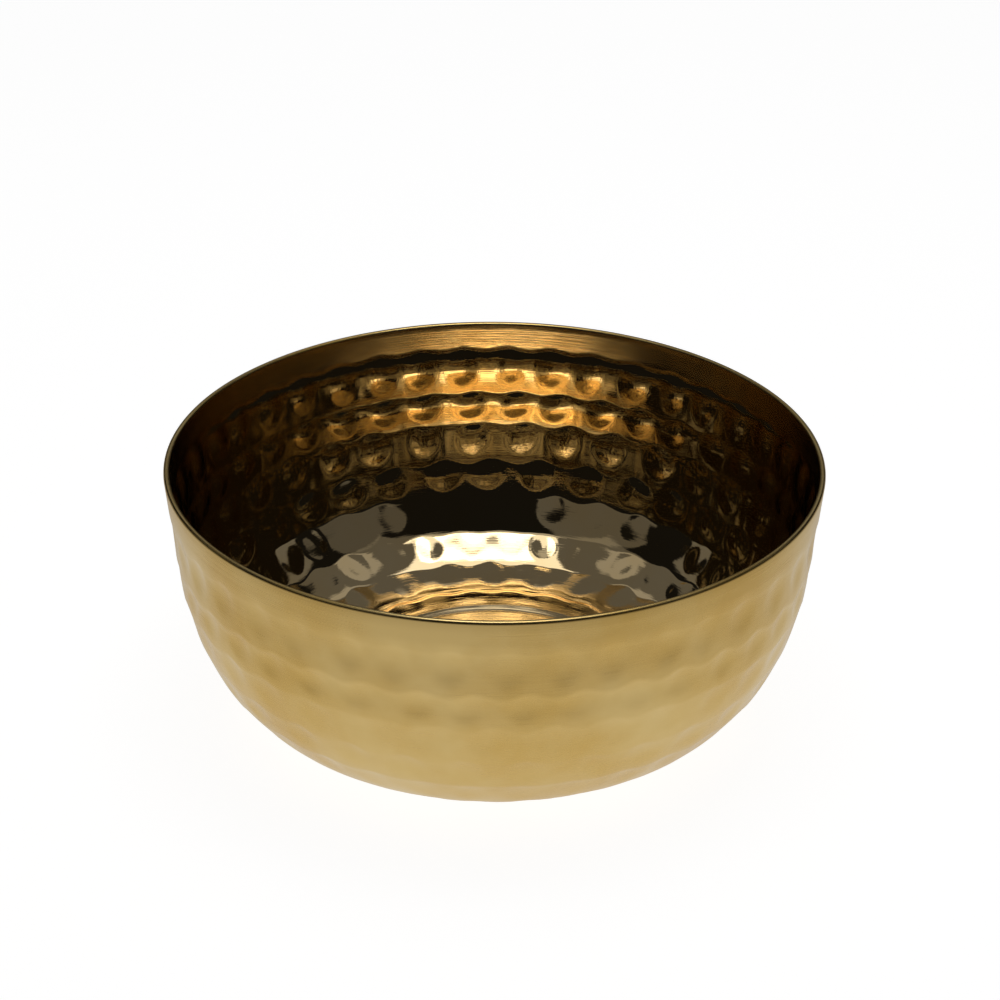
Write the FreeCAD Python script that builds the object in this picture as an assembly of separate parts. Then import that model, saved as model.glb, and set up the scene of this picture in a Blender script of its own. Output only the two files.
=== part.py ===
"""Hammered bowl, raised from one disc of brass-coloured sheet. Millimetres, +Z up.

The origin is the centre of the flat base, on the surface that the bowl stands on.
The wall is one line and two tangent arcs. It is turned about Z at a constant sheet
thickness, with a rounded rim and a flat seat pressed down by one small step.
The hammer marks are under half a millimetre deep and are left to the visual mesh.
"""

import math
import os

import FreeCAD
import Part

# Driving dimensions
RIM_RADIUS = 75.0          # outer radius at the rim
SHEET = 1.4                # sheet thickness
WALL_TAPER = 5.0           # degrees that the straight wall leans in towards the base
WALL_LENGTH = 22.0         # straight wall, measured along the sheet
HIP_RADIUS = 62.0          # outer radius of the gentle arc below the straight wall
HIP_TURN = 21.0            # degrees turned by the gentle arc
CORNER_RADIUS = 33.0       # outer radius of the arc that turns into the floor
SEAT_RADIUS = 33.8         # outer radius of the flat seat that touches the table
SEAT_DEPTH = 0.9           # how far the seat is pressed down below the end of the corner
SEAT_STEP_WIDTH = 3.2      # radial width of the step around the seat


def vector(radius, height):
    """A point of the half section, in the XZ plane."""
    return FreeCAD.Vector(radius, 0.0, height)


def along(angle):
    """Unit direction down the profile, leaning in by an angle from vertical."""
    return vector(-math.sin(angle), -math.cos(angle))


def inward(angle):
    """Unit direction from the outer face into the bowl."""
    return vector(-math.cos(angle), math.sin(angle))


def wall_edges(depth):
    """Line and two arcs of the wall, at a depth into the sheet from the outer face.

    The angles from vertical are the same for both faces, so the sheet stays constant.
    The profile starts at the rim, at height 0, and is moved up to the table later.
    """
    lean = math.radians(WALL_TAPER)
    start = vector(RIM_RADIUS, 0.0)
    hip_start = start + along(lean) * WALL_LENGTH
    edges = [Part.LineSegment(start + inward(lean) * depth, hip_start + inward(lean) * depth)]
    point = hip_start
    angle = lean
    turns = ((HIP_RADIUS, math.radians(HIP_TURN)), (CORNER_RADIUS, math.pi / 2 - lean - math.radians(HIP_TURN)))
    for radius, turn in turns:
        centre = point + inward(angle) * radius
        ends = [centre - inward(angle + turn * share) * (radius - depth) for share in (0.0, 0.5, 1.0)]
        edges.append(Part.Arc(*ends))
        point = centre - inward(angle + turn) * radius
        angle += turn
    return edges, point


def floor_edges(end, depth):
    """Step down to the seat as two tangent arcs, and the flat seat to the axis."""
    height = end.z + depth
    seat_height = height - SEAT_DEPTH
    middle_radius = SEAT_RADIUS + SEAT_STEP_WIDTH / 2
    shoulder = vector(SEAT_RADIUS + SEAT_STEP_WIDTH, height)
    middle = vector(middle_radius, height - SEAT_DEPTH / 2)
    seat = vector(SEAT_RADIUS, seat_height)
    half_width = SEAT_STEP_WIDTH / 2
    half_depth = SEAT_DEPTH / 2
    bend_radius = (half_width ** 2 + half_depth ** 2) / (2 * half_depth)
    half_turn = math.asin(half_width / bend_radius) / 2
    upper_mid = vector(shoulder.x - bend_radius * math.sin(half_turn),
                       height - bend_radius * (1 - math.cos(half_turn)))
    lower_mid = vector(seat.x + bend_radius * math.sin(half_turn),
                       seat_height + bend_radius * (1 - math.cos(half_turn)))
    return [
        Part.LineSegment(vector(end.x, height), shoulder),
        Part.Arc(shoulder, upper_mid, middle),
        Part.Arc(middle, lower_mid, seat),
        Part.LineSegment(seat, vector(0.0, seat_height)),
    ]


def rim_edge():
    """Half round that closes the sheet at the rim."""
    lean = math.radians(WALL_TAPER)
    outer = vector(RIM_RADIUS, 0.0)
    inner = outer + inward(lean) * SHEET
    crown = (outer + inner) * 0.5 - along(lean) * (SHEET / 2)
    return Part.Arc(inner, crown, outer)


def bowl_shell():
    """The whole bowl: the half section turned about Z and stood on its seat."""
    outer, outer_end = wall_edges(0.0)
    inner, _ = wall_edges(SHEET)
    outer += floor_edges(outer_end, 0.0)
    inner += floor_edges(outer_end, SHEET)
    seat_bottom = outer[-1].EndPoint
    axis = Part.LineSegment(seat_bottom, inner[-1].EndPoint)
    section = [rim_edge()] + outer + [axis] + inner
    wire = Part.Wire(Part.__sortEdges__([curve.toShape() for curve in section]))
    solid = Part.Face(wire).revolve(FreeCAD.Vector(), FreeCAD.Vector(0, 0, 1), 360)
    solid.translate(FreeCAD.Vector(0, 0, -seat_bottom.z))
    return solid


def main():
    os.makedirs("parts", exist_ok=True)
    shell = bowl_shell()
    box = shell.BoundBox
    print("bowl_shell valid", shell.isValid(), "solids", len(shell.Solids), "volume mm3", round(shell.Volume, 1))
    print("size mm", round(box.XLength, 2), round(box.YLength, 2), round(box.ZLength, 2), "lowest", round(box.ZMin, 4))
    shell.exportStep("parts/bowl_shell.step")


main()
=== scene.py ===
"""Hammered bowl: the visual model and studio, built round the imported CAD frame.

The bowl is one sheet. Its two faces, its rim and its seat are one closed surface, worked
out as a function of the distance along the sheet and the angle round the axis.
"""

import logging
import math
from dataclasses import dataclass, field
from enum import Enum

import bpy
import numpy as np
from mathutils import Matrix, Vector


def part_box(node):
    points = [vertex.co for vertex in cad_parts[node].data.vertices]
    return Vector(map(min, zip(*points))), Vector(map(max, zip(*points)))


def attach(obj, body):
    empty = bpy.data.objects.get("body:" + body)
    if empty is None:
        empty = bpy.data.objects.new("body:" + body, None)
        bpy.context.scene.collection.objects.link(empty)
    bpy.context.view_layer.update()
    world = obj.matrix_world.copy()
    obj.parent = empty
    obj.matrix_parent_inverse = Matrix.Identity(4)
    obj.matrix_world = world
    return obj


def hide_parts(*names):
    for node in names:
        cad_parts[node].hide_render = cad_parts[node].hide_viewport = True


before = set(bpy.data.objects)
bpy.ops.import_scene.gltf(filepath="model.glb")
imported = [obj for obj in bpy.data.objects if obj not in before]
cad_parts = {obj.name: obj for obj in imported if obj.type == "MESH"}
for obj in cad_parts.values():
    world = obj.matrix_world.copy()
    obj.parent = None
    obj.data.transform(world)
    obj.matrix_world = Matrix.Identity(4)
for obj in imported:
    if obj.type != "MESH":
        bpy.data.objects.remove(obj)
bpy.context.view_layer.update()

LOG = logging.getLogger("hammered_bowl")
SHELL_NODE = "bowl_shell"

# Height of the brushed band under the rim, in metres.
BRUSHED_BAND = 0.0074
# Scales of the noise that makes the buffing lines and the worn patches.
LINE_FINENESS = 2600.0
WEAR_PATCHES = 34.0
# Share of each place that joins a line's radius and height, so that the lines aren't perfect circles.
LINE_STREAK = (0.012, 0.012, 0.0)


class Face(Enum):
    """The parts of the sheet's surface that are finished in their own way."""

    INSIDE = 0
    OUTSIDE = 1


@dataclass(frozen=True)
class MarkRow:
    """One ring of hammer marks.

    Attributes:
        top: distance from the rim, along the sheet, of the row's upper edge, in metres.
        bottom: the same for its lower edge.
        count: number of marks round the ring.
        phase: turn of the ring, in marks, from +Y, which faces away from the camera.
        blow: depth of its marks, as a share of the usual depth.
        belt: height of the belt under them, as a share of the usual height.
    """

    top: float
    bottom: float
    count: int
    phase: float
    blow: float
    belt: float


def hammered_rows() -> tuple[MarkRow, ...]:
    """The seven rings of marks, from the rim down.

    Returns:
        The rows, with edges in metres along the sheet.
    """
    mm = 0.001
    return (
        MarkRow(7.0 * mm, 18.4 * mm, 41, 0.25, 1.35, 1.0),
        MarkRow(18.4 * mm, 27.0 * mm, 40, 0.39, 1.3, 1.0),
        MarkRow(27.0 * mm, 37.2 * mm, 35, 0.52, 1.1, 0.8),
        MarkRow(37.2 * mm, 46.2 * mm, 33, -0.11, 1.3, 0.4),
        MarkRow(46.2 * mm, 56.8 * mm, 36, 0.40, 0.85, 1.0),
        MarkRow(56.8 * mm, 66.2 * mm, 34, 0.33, 0.65, 0.8),
        MarkRow(66.2 * mm, 76.2 * mm, 26, -0.07, 0.45, 0.6),
    )


@dataclass(frozen=True)
class SheetProfile:
    """Half section of the sheet: one line and two tangent arcs, a step and the flat seat.

    Distances run along the outer face from the rim. Angles are from vertical, so the line
    leans in by the taper, and each arc turns on from where the last one ended.
    """

    rim_radius: float
    rim_height: float
    sheet: float = 0.0014
    taper: float = math.radians(5.0)
    wall_length: float = 0.022
    hip_radius: float = 0.062
    hip_turn: float = math.radians(21.0)
    corner_radius: float = 0.033
    seat_radius: float = 0.0338
    seat_depth: float = 0.0009
    step_width: float = 0.0032

    @property
    def rim_base(self) -> float:
        """Height of the outer face's upper edge, under the half-round rim."""
        return self.rim_height - self.sheet / 2 * (1 + math.sin(self.taper))

    @property
    def hip_length(self) -> float:
        """Length of the gentle arc."""
        return self.hip_radius * self.hip_turn

    @property
    def corner_length(self) -> float:
        """Length of the arc that turns into the floor."""
        return self.corner_radius * (math.pi / 2 - self.taper - self.hip_turn)

    @property
    def wall_end(self) -> float:
        """Distance from the rim to the end of the corner."""
        return self.wall_length + self.hip_length + self.corner_length

    @property
    def floor_radius(self) -> float:
        """Radius at which the corner ends and the floor begins."""
        return float(self.outer_face(np.array([self.wall_end]))[0][0])

    @property
    def length(self) -> float:
        """Whole length from the rim to the axis."""
        return self.wall_end + self.floor_radius

    def lean(self, s: np.ndarray) -> np.ndarray:
        """Angle from vertical: the taper, then rising evenly along each arc to a right angle.

        Args:
            s: distances from the rim along the outer face.

        Returns:
            The angles in radians.
        """
        hip = np.clip(s - self.wall_length, 0, self.hip_length) / self.hip_radius
        corner = np.clip(s - self.wall_length - self.hip_length, 0, self.corner_length) / self.corner_radius
        return self.taper + hip + corner

    def outer_face(self, s: np.ndarray) -> tuple[np.ndarray, np.ndarray]:
        """Radius and height of the outer face.

        A line adds its length times its direction, and an arc adds its radius times the change
        of sine or cosine of the lean. The floor runs on level, and the step drops it by two
        equal parabolas that meet half way.

        Args:
            s: distances from the rim along the outer face.

        Returns:
            Radii and heights.
        """
        line = np.clip(s, 0, self.wall_length)
        radius = self.rim_radius - line * math.sin(self.taper)
        height = self.rim_base - line * math.cos(self.taper)
        start = self.wall_length
        angle = self.taper
        for bend, length in ((self.hip_radius, self.hip_length), (self.corner_radius, self.corner_length)):
            reached = angle + np.clip(s - start, 0, length) / bend
            radius = radius - bend * (math.cos(angle) - np.cos(reached))
            height = height - bend * (np.sin(reached) - math.sin(angle))
            start += length
            angle += length / bend
        radius = radius - np.maximum(s - start, 0)
        share = np.clip((self.seat_radius + self.step_width - radius) / self.step_width, 0, 1)
        drop = np.where(share < 0.5, 2 * share**2, 1 - 2 * (1 - share) ** 2)
        return radius, height - drop * self.seat_depth

    def point(self, s: np.ndarray, depth: np.ndarray) -> tuple[np.ndarray, np.ndarray]:
        """Radius and height at a depth into the sheet, square to the wall and floor.

        Args:
            s: distances from the rim along the outer face.
            depth: distances in from the outer face, towards the hollow of the bowl.

        Returns:
            Radii and heights.
        """
        radius, height = self.outer_face(s)
        lean = self.lean(s)
        return radius - np.cos(lean) * depth, height + np.sin(lean) * depth


@dataclass(frozen=True)
class HammerWork:
    """The marks of a domed hammer on the outside of the sheet, in rings with a crease between.

    Places in a row are given as shares: down, from -1 at its upper edge to 1 at its lower one,
    and beside, from a mark's centre, where 1 is half way to the next mark. A ring of blows
    raises a belt inside the bowl, steep below its upper edge and long below its crest. Each
    blow adds a dome to the belt: one less the squared distance, raised to a power that grows
    downwards, so the dome starts at the row's upper edge and fades before the lower one.

    The plain band above the first row is thinned towards its lower edge, on the inside only,
    which stands that face more upright. The thickness comes back within the top of the first
    row. A low belt with its crest near its upper edge makes a shoulder just outside the seat.
    """

    rows: tuple[MarkRow, ...] = field(default_factory=hammered_rows)
    belt_depth: float = 0.00020
    belt_crest: float = -0.3
    belt_rise_power: float = 3.0
    belt_fall_power: float = 1.5
    mark_depth: float = 0.00030
    mark_centre: float = -0.15
    mark_width: float = 0.76
    mark_reach: float = 0.84
    upper_power: float = 1.15
    lower_power: float = 2.0
    scallop: float = 0.00042
    lip_thinning: float = 0.00034
    lip_return: float = 0.5
    shoulder: float = 2.2
    shoulder_crest: float = -0.8
    wander: float = 0.10
    uneven: float = 0.18
    seed: int = 41

    def marks_along(self, row: MarkRow, turn: np.ndarray) -> np.ndarray:
        """Place round the axis counted in marks, nought at the first one's centre."""
        return (math.pi / 2 - turn) * row.count / (2 * math.pi) - row.phase

    def edge(self, index: int, turn: np.ndarray) -> np.ndarray:
        """One edge between rows: its mean place, bulged down by marks above and up by marks below.

        Args:
            index: 0 for the upper edge of the first row, and so on down.
            turn: angles round the axis.

        Returns:
            Distances from the rim along the sheet.
        """
        mean = self.rows[index].top if index < len(self.rows) else self.rows[-1].bottom
        place = np.full(len(turn), mean)
        if index > 0:
            place += self.scallop * np.cos(2 * math.pi * self.marks_along(self.rows[index - 1], turn))
        if index < len(self.rows):
            place -= self.scallop * np.cos(2 * math.pi * self.marks_along(self.rows[index], turn))
        return place

    def belt(self, down: np.ndarray, crest: float) -> np.ndarray:
        """Height of a belt: a steep power curve up to its crest, and a slower one down from it.

        Args:
            down: places down the belt, from -1 to 1.
            crest: the place where it is highest.

        Returns:
            Heights in metres.
        """
        rise = 1 - ((crest - np.minimum(down, crest)) / (1 + crest)) ** self.belt_rise_power
        fall = ((np.maximum(down, crest) - crest) / (1 - crest)) ** self.belt_fall_power
        return self.belt_depth * (rise - fall)

    def push(self, index: int, down: np.ndarray, turn: np.ndarray) -> np.ndarray:
        """How far the sheet is pushed in over one row.

        Args:
            index: the row.
            down: places down the row, from -1 to 1.
            turn: angles round the axis.

        Returns:
            Depths in metres, places by angles.
        """
        row = self.rows[index]
        rng = np.random.default_rng(self.seed + index)
        aside = rng.uniform(-self.wander, self.wander, row.count)
        lower = rng.uniform(-self.wander, self.wander, row.count) / 2
        strength = row.blow * (1 + rng.uniform(-self.uneven, self.uneven, row.count))
        width = self.mark_width * (1 + rng.uniform(-self.uneven, self.uneven, row.count) / 2)
        along = self.marks_along(row, turn)
        nearest = np.round(along).astype(int)
        power = (self.upper_power + self.lower_power) / 2
        power = power + (self.lower_power - self.upper_power) / 2 * np.sin(down * math.pi / 2)
        depth = np.repeat(row.belt * self.belt(down, self.belt_crest)[:, None], len(turn), axis=1)
        for neighbour in (-1, 0, 1):
            mark = (nearest + neighbour) % row.count
            beside = 2 * (along - nearest - neighbour) - 2 * aside[mark]
            centre = (self.mark_centre + lower[mark])[None, :]
            above = (centre - down[:, None]) / (1 + centre)
            below = (down[:, None] - centre) / self.mark_reach
            away = (beside / width[mark])[None, :] ** 2 + np.where(above > 0, above, below) ** 2
            dome = np.clip(1 - away, 0, 1) ** power[:, None]
            depth += self.mark_depth * strength[mark][None, :] * dome
        return depth


@dataclass
class BowlShell:
    """The hammered sheet as one closed mesh: inside, rim, outside and the two poles.

    The rings of the grid follow the edges between the rows of marks, so each crease lies on one.
    """

    profile: SheetProfile
    work: HammerWork
    columns: int = 450
    row_rings: tuple[int, int] = (14, 10)
    band_rings: tuple[int, int] = (5, 3)
    step_rings: tuple[int, int] = (14, 9)
    seat_rings: tuple[int, int] = (7, 4)
    rim_rings: int = 9
    edge_gather: float = 0.5

    def face_grid(self, face: Face, turn: np.ndarray) -> np.ndarray:
        """Points of one face: the profile at its depth in the sheet, pushed in by the marks.

        Rings in a row are gathered towards its edges, by mixing even steps with a sine of them.
        The thinned lip and the first row are one curve: the lip grows evenly down the band, and
        its square falls back to nought within the row.

        Args:
            face: which side of the sheet.
            turn: angles of the columns.

        Returns:
            Points, rings by columns by three, from the rim to the seat.
        """
        which = face.value
        band = np.linspace(0, 1, self.band_rings[which], endpoint=False)
        steps = np.linspace(-1, 1, self.row_rings[which], endpoint=False)
        down = (1 - self.edge_gather) * steps + self.edge_gather * np.sin(steps * math.pi / 2)
        step_end = self.profile.length - self.profile.seat_radius
        step = np.linspace(0, 1, self.step_rings[which])
        seat = np.linspace(step_end, self.profile.length, self.seat_rings[which] + 1)[1:-1]
        upper = self.work.edge(0, turn)
        places = [band[:, None] * upper]
        thinned = self.work.lip_thinning if face is Face.INSIDE else 0.0
        pushes = [-thinned * band[:, None] * np.ones(len(turn))]
        for index in range(len(self.work.rows)):
            lower = self.work.edge(index + 1, turn)
            places.append((upper + lower) / 2 + down[:, None] * (lower - upper) / 2)
            pushes.append(self.work.push(index, down, turn))
            upper = lower
        pushes[1] -= thinned * np.clip(1 - (down + 1) / self.work.lip_return, 0, 1)[:, None] ** 2
        flat = np.ones(len(turn))
        places.append(upper + step[:, None] * (step_end - upper))
        places.append(seat[:, None] * flat)
        last_edge = self.work.rows[-1].bottom
        fallen = step * (step_end - last_edge) / (step_end - self.profile.step_width - last_edge)
        fallen = np.clip(2 * fallen - 1, -1, 1)
        shoulder = self.work.shoulder * self.work.belt(fallen, self.work.shoulder_crest)
        pushes.append(np.concatenate([shoulder, np.zeros(len(seat))])[:, None] * flat)
        depth = np.concatenate(pushes) + (self.profile.sheet if face is Face.INSIDE else 0.0)
        radius, height = self.profile.point(np.concatenate(places), depth)
        return turned_about_axis(radius, height, turn)

    def rim_grid(self, turn: np.ndarray) -> np.ndarray:
        """Points of the half-round rim, from the inside edge over the top to the outside edge.

        Args:
            turn: angles of the columns.

        Returns:
            Points, rings by columns by three, without the two edges that the faces hold.
        """
        half = self.profile.sheet / 2
        lean = self.profile.taper
        swing = np.linspace(math.pi, 0, self.rim_rings + 2)[1:-1]
        centre_radius = self.profile.rim_radius - half * math.cos(lean)
        centre_height = self.profile.rim_base + half * math.sin(lean)
        radius = centre_radius + half * np.cos(swing - lean)
        height = centre_height + half * np.sin(swing - lean)
        flat = np.ones((1, len(turn)))
        return turned_about_axis(radius[:, None] * flat, height[:, None] * flat, turn)

    def build(self) -> bpy.types.Object:
        """Builds the closed mesh and gives each face its finish.

        Returns:
            The bowl's object, at the origin.
        """
        turn = np.linspace(0, 2 * math.pi, self.columns, endpoint=False)
        inside = self.face_grid(Face.INSIDE, turn)[::-1]
        outside = self.face_grid(Face.OUTSIDE, turn)
        grid = np.concatenate([inside, self.rim_grid(turn), outside])
        rings = len(grid)
        poles = np.array([[0, 0, inside[0, 0, 2]], [0, 0, outside[-1, 0, 2]]])
        points = np.concatenate([grid.reshape(-1, 3), poles])
        here = np.arange(rings * self.columns).reshape(rings, self.columns)
        nxt = np.roll(here, -1, axis=1)
        quads = np.stack([here[:-1], here[1:], nxt[1:], nxt[:-1]], axis=-1).reshape(-1, 4)
        top_pole, under_pole = len(points) - 2, len(points) - 1
        inner_fan = np.stack([here[0], nxt[0], np.full(self.columns, top_pole)], axis=-1)
        outer_fan = np.stack([nxt[-1], here[-1], np.full(self.columns, under_pole)], axis=-1)
        mesh = bpy.data.meshes.new("bowl_shell_hammered")
        mesh.from_pydata(points.tolist(), [], quads.tolist() + inner_fan.tolist() + outer_fan.tolist())
        first_outside = len(inside)
        outer_side = np.concatenate([
            np.repeat(np.arange(rings - 1) >= first_outside, self.columns),
            np.zeros(self.columns, bool),
            np.ones(self.columns, bool),
        ])
        mesh.polygons.foreach_set("material_index", outer_side.astype(np.int32))
        mesh.polygons.foreach_set("use_smooth", np.ones(len(mesh.polygons), bool))
        mesh.update()
        mesh.validate()
        shell = bpy.data.objects.new("bowl_shell_hammered", mesh)
        bpy.context.scene.collection.objects.link(shell)
        return shell


def turned_about_axis(radius: np.ndarray, height: np.ndarray, turn: np.ndarray) -> np.ndarray:
    """Points of a grid on circles about the axis: radius times cosine and sine, and the height.

    Args:
        radius: radii, rings by columns.
        height: heights, the same shape.
        turn: the angle of each column.

    Returns:
        Points, rings by columns by three.
    """
    level = np.broadcast_to(height, radius.shape)
    return np.stack([radius * np.cos(turn), radius * np.sin(turn), level], axis=-1)


class NodeSheet:
    """A small helper that adds and joins shader nodes in one tree."""

    def __init__(self, tree: bpy.types.NodeTree) -> None:
        """Keeps the tree that nodes are added to."""
        self.tree = tree

    def add(self, kind: str, inputs: dict | None = None, **settings: object) -> bpy.types.Node:
        """Adds a node.

        Args:
            kind: the node's type.
            inputs: socket name or index to a value, or to the socket that feeds it.
            **settings: properties of the node itself.

        Returns:
            The new node.
        """
        node = self.tree.nodes.new(kind)
        for name, value in settings.items():
            setattr(node, name, value)
        for name, value in (inputs or {}).items():
            if isinstance(value, bpy.types.NodeSocket):
                self.tree.links.new(value, node.inputs[name])
            else:
                node.inputs[name].default_value = value
        return node

    def maths(self, operation: str, *values: object) -> bpy.types.NodeSocket:
        """Adds a Math node and returns its output."""
        return self.add("ShaderNodeMath", dict(enumerate(values)), operation=operation).outputs[0]

    def remap(self, value: bpy.types.NodeSocket, old: tuple[float, float],
              new: tuple[float, float] = (0.0, 1.0)) -> bpy.types.NodeSocket:
        """Adds a clamped Map Range node.

        Args:
            value: the socket to map.
            old: the values that are mapped to the ends of the new range.
            new: the new range.

        Returns:
            The node's output.
        """
        ends = {1: old[0], 2: old[1], 3: new[0], 4: new[1]}
        return self.add("ShaderNodeMapRange", {0: value, **ends}).outputs[0]


def buffing_group() -> bpy.types.NodeTree:
    """Node group of the fine lines that a buffing wheel leaves round the axis.

    The noise is read on radius, height and a little of the angle, so its features are long
    along the turning direction and narrow across it.

    Returns:
        The group, with inputs Fineness and Patches, and outputs Lines and Wear.
    """
    group = bpy.data.node_groups.new("buffing_lines", "ShaderNodeTree")
    for name, value in (("Fineness", LINE_FINENESS), ("Patches", WEAR_PATCHES)):
        socket = group.interface.new_socket(name, in_out="INPUT", socket_type="NodeSocketFloat")
        socket.default_value = value
    for name in ("Lines", "Wear"):
        group.interface.new_socket(name, in_out="OUTPUT", socket_type="NodeSocketFloat")
    sheet = NodeSheet(group)
    given = sheet.add("NodeGroupInput")
    place = sheet.add("ShaderNodeTexCoord").outputs["Object"]
    parts = sheet.add("ShaderNodeSeparateXYZ", {0: place})
    across = sheet.maths("ADD", sheet.maths("MULTIPLY", parts.outputs[0], parts.outputs[0]),
                         sheet.maths("MULTIPLY", parts.outputs[1], parts.outputs[1]))
    radius = sheet.maths("SQRT", across)
    spread = sheet.add("ShaderNodeVectorMath", {0: place, 1: LINE_STREAK}, operation="MULTIPLY")
    rings = sheet.add("ShaderNodeCombineXYZ", {0: radius, 1: 0.0, 2: parts.outputs[2]})
    where = sheet.add("ShaderNodeVectorMath", {0: rings.outputs[0], 1: spread.outputs[0]}, operation="ADD")
    lines = sheet.add("ShaderNodeTexNoise", {"Vector": where.outputs[0], "Scale": given.outputs["Fineness"],
                                             "Detail": 3.0, "Roughness": 0.6})
    wear = sheet.add("ShaderNodeTexNoise", {"Vector": place, "Scale": given.outputs["Patches"],
                                            "Detail": 4.0, "Roughness": 0.55})
    sheet.add("NodeGroupOutput", {"Lines": lines.outputs["Fac"], "Wear": wear.outputs["Fac"]})
    return group


@dataclass(frozen=True)
class SheetFinish:
    """A polished or satin metal finish.

    Attributes:
        name: name of the material.
        clean: colour where it is freshly polished.
        warm: colour where it has begun to tone.
        smooth: lowest roughness.
        rough: highest roughness, in worn patches and along the buffing lines.
        line_bump: height of the buffing lines, as a share of the bump distance.
        band_start: height above which lies the brushed band under the rim.
        band_rough: roughness that the band and the floor have beyond the rest.
        floor_start: height below which lies the brushed floor.
        groove: how much deeper the lines are where they are brushed, for each unit of roughness added.
        fineness: scale of the buffing lines.
        patches: scale of the worn patches.
        tone_wear: the wear at which the warm colour starts, and at which it is full.
        polish_wear: wear times lines at which the metal is smoothest, and at which it is roughest.
        band_fade: height over which the brushing of the band fades in.
        floor_fade: height over which the brushing of the floor fades in.
        line_height: bump distance of the lines, in metres.
    """

    name: str
    clean: tuple[float, float, float]
    warm: tuple[float, float, float]
    smooth: float
    rough: float
    line_bump: float
    band_start: float
    band_rough: float
    floor_start: float
    groove: float
    fineness: float = LINE_FINENESS
    patches: float = WEAR_PATCHES
    tone_wear: tuple[float, float] = (0.40, 0.68)
    polish_wear: tuple[float, float] = (0.12, 0.4)
    band_fade: float = 0.002
    floor_fade: float = 0.001
    line_height: float = 0.0001

    def material(self, buffing: bpy.types.NodeTree) -> bpy.types.Material:
        """Makes the material.

        Args:
            buffing: the shared group of buffing lines and wear patches.

        Returns:
            The material.
        """
        made = bpy.data.materials.new(self.name)
        made.use_nodes = True
        made.node_tree.nodes.clear()
        sheet = NodeSheet(made.node_tree)
        group = sheet.add("ShaderNodeGroup", node_tree=buffing)
        group.inputs["Fineness"].default_value = self.fineness
        group.inputs["Patches"].default_value = self.patches
        toned = sheet.remap(group.outputs["Wear"], self.tone_wear)
        tone = sheet.add("ShaderNodeMix", {0: toned, 6: (*self.clean, 1), 7: (*self.warm, 1)},
                         data_type="RGBA")
        dull = sheet.maths("MULTIPLY", group.outputs["Wear"], group.outputs["Lines"])
        polish = sheet.remap(dull, self.polish_wear, (self.smooth, self.rough))
        place = sheet.add("ShaderNodeSeparateXYZ", {0: sheet.add("ShaderNodeTexCoord").outputs["Object"]})
        height = place.outputs[2]
        added = (0.0, self.band_rough)
        brushed = sheet.remap(height, (self.band_start, self.band_start + self.band_fade), added)
        floor_lines = sheet.remap(height, (self.floor_start, self.floor_start - self.floor_fade), added)
        worked = sheet.maths("ADD", brushed, floor_lines)
        rough = sheet.maths("ADD", polish, worked)
        groove = sheet.maths("MULTIPLY_ADD", worked, self.groove, 1.0)
        lines = sheet.maths("MULTIPLY", group.outputs["Lines"], groove)
        bump = sheet.add("ShaderNodeBump", {"Strength": self.line_bump, "Distance": self.line_height,
                                            "Height": lines})
        shader = sheet.add("ShaderNodeBsdfPrincipled", {
            "Base Color": tone.outputs[2], "Metallic": 1.0, "Roughness": rough,
            "Normal": bump.outputs[0],
        })
        sheet.add("ShaderNodeOutputMaterial", {"Surface": shader.outputs[0]})
        return made


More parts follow.
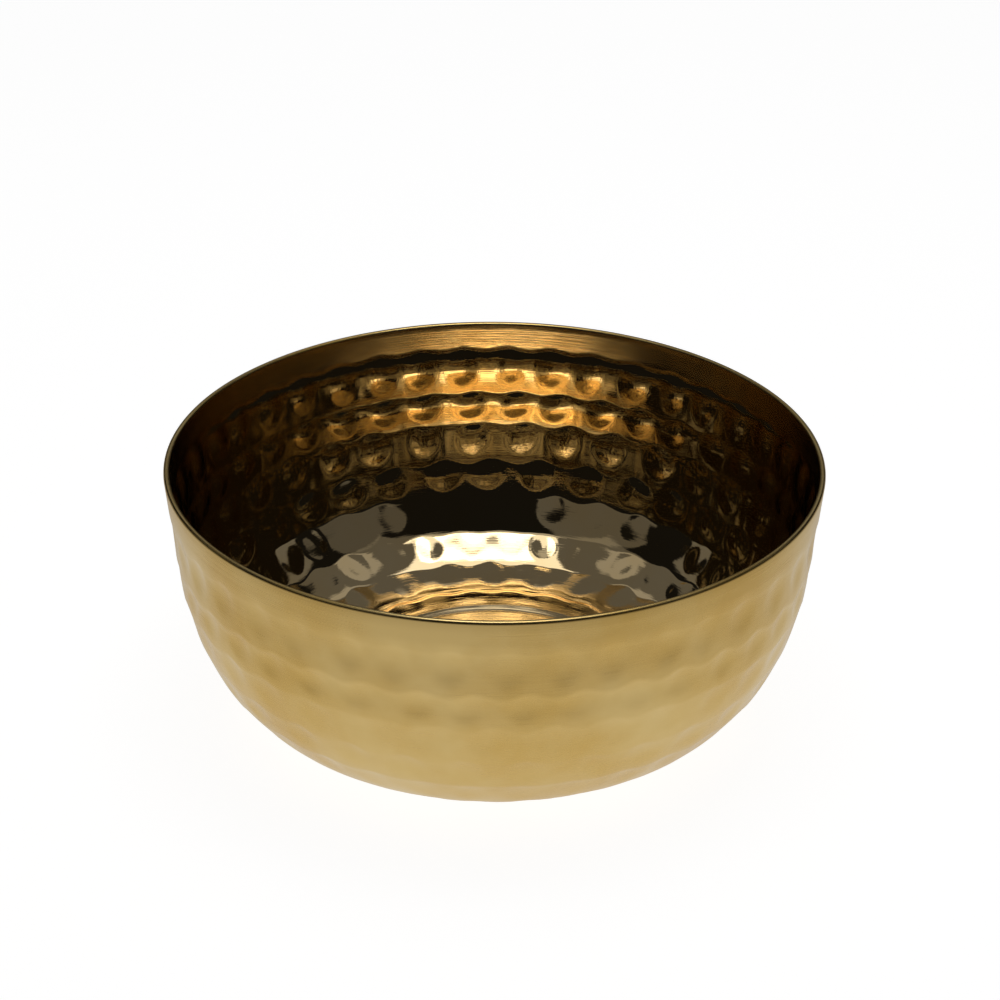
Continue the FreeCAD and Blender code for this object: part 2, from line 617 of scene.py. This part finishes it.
@dataclass
class Studio:
    """Pale floor, soft lights and the camera, sized from the bowl.

    Attributes:
        profile: the bowl's section, which gives the rim's radius and height.
        reach: half the floor's width, in metres.
        camera_distance: from the rim's centre, in rim radii.
        camera_height: angle above the rim, seen from its centre.
        camera_pitch: angle that the camera looks down by.
        camera_roll: turn of the camera round its own line of sight.
        camera_aside: how far the camera stands to the right, in metres.
        lens: focal length, in millimetres.
        sensor: sensor width, in millimetres.
        nearest: nearest distance that is drawn, in metres.
        floor_grey: share of light that the floor scatters.
        glow_near: the floor's own light at the rim's radius, as the metal sees it.
        glow_fall: how much of that is gone at glow_reach.
        glow_reach: where the fall ends, in rim radii.
        glow_seen: the floor's own light, as the camera sees it.
        near_tint: colour of the floor's light at the bowl.
        far_tint: its colour at glow_reach.
        room_colour: colour of the dim surround.
        room_strength: its brightness.
    """

    profile: SheetProfile
    reach: float = 6.0
    camera_distance: float = 7.0
    camera_height: float = math.radians(26.93)
    camera_pitch: float = math.radians(28.03)
    camera_roll: float = math.radians(0.42)
    camera_aside: float = 0.00127
    lens: float = 82.8
    sensor: float = 36.0
    nearest: float = 0.01
    floor_grey: float = 0.28
    glow_near: float = 0.58
    glow_fall: float = 0.43
    glow_reach: float = 3.6
    glow_seen: float = 0.94
    near_tint: tuple[float, float, float] = (1.0, 0.99, 0.97)
    far_tint: tuple[float, float, float] = (1.0, 0.90, 0.72)
    room_colour: tuple[float, float, float] = (1.0, 0.97, 0.93)
    room_strength: float = 0.007

    def floor(self) -> None:
        """A level pale plane that the bowl stands on.

        It glows a little. The camera sees an even white, and the metal sees a light that fades
        and warms with distance from the bowl.
        """
        corners = [(-1, -1), (1, -1), (1, 1), (-1, 1)]
        mesh = bpy.data.meshes.new("floor")
        mesh.from_pydata([(x * self.reach, y * self.reach, 0) for x, y in corners], [], [(0, 1, 2, 3)])
        plane = bpy.data.objects.new("floor", mesh)
        bpy.context.scene.collection.objects.link(plane)
        paper = bpy.data.materials.new("pale_paper")
        paper.use_nodes = True
        paper.node_tree.nodes.clear()
        sheet = NodeSheet(paper.node_tree)
        seen = sheet.add("ShaderNodeLightPath").outputs["Is Camera Ray"]
        grey = self.floor_grey
        diffuse = sheet.add("ShaderNodeBsdfDiffuse", {"Color": (grey, grey, grey, 1)})
        place = sheet.add("ShaderNodeTexCoord").outputs["Object"]
        distance = sheet.add("ShaderNodeVectorMath", {0: place}, operation="LENGTH").outputs["Value"]
        rim = self.profile.rim_radius
        away = sheet.remap(distance, (rim, self.glow_reach * rim))
        lit = sheet.maths("MULTIPLY_ADD", away, -self.glow_fall, self.glow_near)
        tint = sheet.add("ShaderNodeMix", {0: away, 6: (*self.near_tint, 1), 7: (*self.far_tint, 1)},
                         data_type="RGBA")
        plain = sheet.add("ShaderNodeMix", {0: seen, 6: tint.outputs[2], 7: (1, 1, 1, 1)}, data_type="RGBA")
        shown = sheet.add("ShaderNodeMix", {0: seen, 2: lit, 3: self.glow_seen}).outputs[0]
        glow = sheet.add("ShaderNodeEmission", {"Color": plain.outputs[2], "Strength": shown})
        both = sheet.add("ShaderNodeAddShader", {0: diffuse.outputs[0], 1: glow.outputs[0]})
        sheet.add("ShaderNodeOutputMaterial", {"Surface": both.outputs[0]})
        plane.data.materials.append(paper)

    def softbox(self, name: str, place: tuple[float, float, float], size: tuple[float, float],
                radiance: float, facing: tuple[float, float, float]) -> None:
        """A rectangular soft light, or a surface that bounces a little light.

        Args:
            name: name of the light.
            place: its centre, in metres.
            size: its width and height, in metres.
            radiance: brightness of its face. The power is this times pi times its area.
            facing: the direction that it shines in.
        """
        light = bpy.data.lights.new(name, "AREA")
        light.shape = "RECTANGLE"
        light.size, light.size_y = size
        light.energy = radiance * math.pi * size[0] * size[1]
        lamp = bpy.data.objects.new(name, light)
        lamp.location = place
        lamp.rotation_euler = Vector(facing).to_track_quat("-Z", "Y").to_euler()
        lamp.visible_camera = False
        bpy.context.scene.collection.objects.link(lamp)

    def lights(self) -> None:
        """A box overhead in three parts, and the dim surfaces round it.

        The box has a bright core and a dimmer spill towards the camera. The rest stand for the
        ceiling, its panels, the back wall, and a strip high up on either side.
        """
        down = (0.0, 0.0, -1.0)
        self.softbox("overhead_box", (0.03, 0.083, 0.75), (0.43, 0.33), 1.05, down)
        self.softbox("overhead_core", (0.045, -0.043, 0.745), (0.33, 0.165), 2.0, down)
        self.softbox("overhead_spill", (0.03, -0.224, 0.75), (0.55, 0.24), 0.34, down)
        self.softbox("ceiling_bounce", (0.0, 0.26, 0.80), (1.40, 1.20), 0.095, down)
        self.softbox("left_wing", (-0.69, -0.48, 0.79), (0.78, 0.56), 0.085, down)
        self.softbox("right_wing", (1.03, -0.36, 0.79), (0.72, 0.62), 0.07, down)
        self.softbox("back_wall", (0.0, 1.20, 0.55), (1.60, 0.60), 0.05, (0.0, -1.0, -0.35))
        self.softbox("back_strip", (0.0, 1.08, 0.76), (1.80, 0.26), 0.20, (0.0, -1.0, -0.6))
        for place in ((-0.44, 0.10), (-0.36, 0.42), (0.02, 0.47), (0.38, 0.40), (0.48, 0.12)):
            self.softbox("ceiling_panel", (*place, 0.79), (0.20, 0.15), 0.20, down)
        for side in (-1, 1):
            self.softbox("side_strip", (1.25 * side, 0.43, 0.76), (0.60, 0.24), 0.12, (-side, -0.35, -0.6))

    def room(self) -> None:
        """A dim even surround."""
        world = bpy.data.worlds.new("studio_room")
        world.use_nodes = True
        world.node_tree.nodes["Background"].inputs["Color"].default_value = (*self.room_colour, 1)
        world.node_tree.nodes["Background"].inputs["Strength"].default_value = self.room_strength
        bpy.context.scene.world = world

    def camera(self) -> None:
        """The camera, placed from the rim's centre."""
        away = self.camera_distance * self.profile.rim_radius
        data = bpy.data.cameras.new("camera")
        data.lens = self.lens
        data.sensor_width = self.sensor
        data.clip_start = self.nearest
        eye = bpy.data.objects.new("camera", data)
        place = Vector((self.camera_aside, -away * math.cos(self.camera_height),
                        self.profile.rim_base + away * math.sin(self.camera_height)))
        pitch = Matrix.Rotation(math.pi / 2 - self.camera_pitch, 4, "X")
        roll = Matrix.Rotation(self.camera_roll, 4, "Z")
        eye.matrix_world = Matrix.Translation(place) @ pitch @ roll
        bpy.context.scene.collection.objects.link(eye)
        bpy.context.scene.camera = eye

    def build(self) -> None:
        """Builds the whole studio."""
        self.floor()
        self.lights()
        self.room()
        self.camera()
        bpy.context.scene.view_settings.view_transform = "Standard"


def main() -> None:
    """Builds the bowl and the studio."""
    logging.basicConfig(level=logging.INFO)
    low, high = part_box(SHELL_NODE)
    profile = SheetProfile(rim_radius=(high.x - low.x) / 2, rim_height=high.z - low.z)
    shell = BowlShell(profile, HammerWork()).build()
    buffing = buffing_group()
    band_start = profile.rim_height - BRUSHED_BAND
    inside = SheetFinish(
        name="polished_inside", clean=(0.90, 0.70, 0.40), warm=(0.88, 0.64, 0.31), smooth=0.018, rough=0.055,
        line_bump=0.08, band_start=band_start, band_rough=0.08, floor_start=0.0026, groove=70.0,
    )
    outside = SheetFinish(
        name="satin_outside", clean=(0.88, 0.65, 0.27), warm=(0.80, 0.54, 0.17), smooth=0.17, rough=0.30,
        line_bump=0.05, band_start=band_start, band_rough=0.03, floor_start=0.0, groove=10.0,
    )
    shell.data.materials.append(inside.material(buffing))
    shell.data.materials.append(outside.material(buffing))
    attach(shell, "root")
    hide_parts(SHELL_NODE)
    LOG.info("bowl shell: %d faces, %d points", len(shell.data.polygons), len(shell.data.vertices))
    Studio(profile).build()


if __name__ == "__main__":
    main()
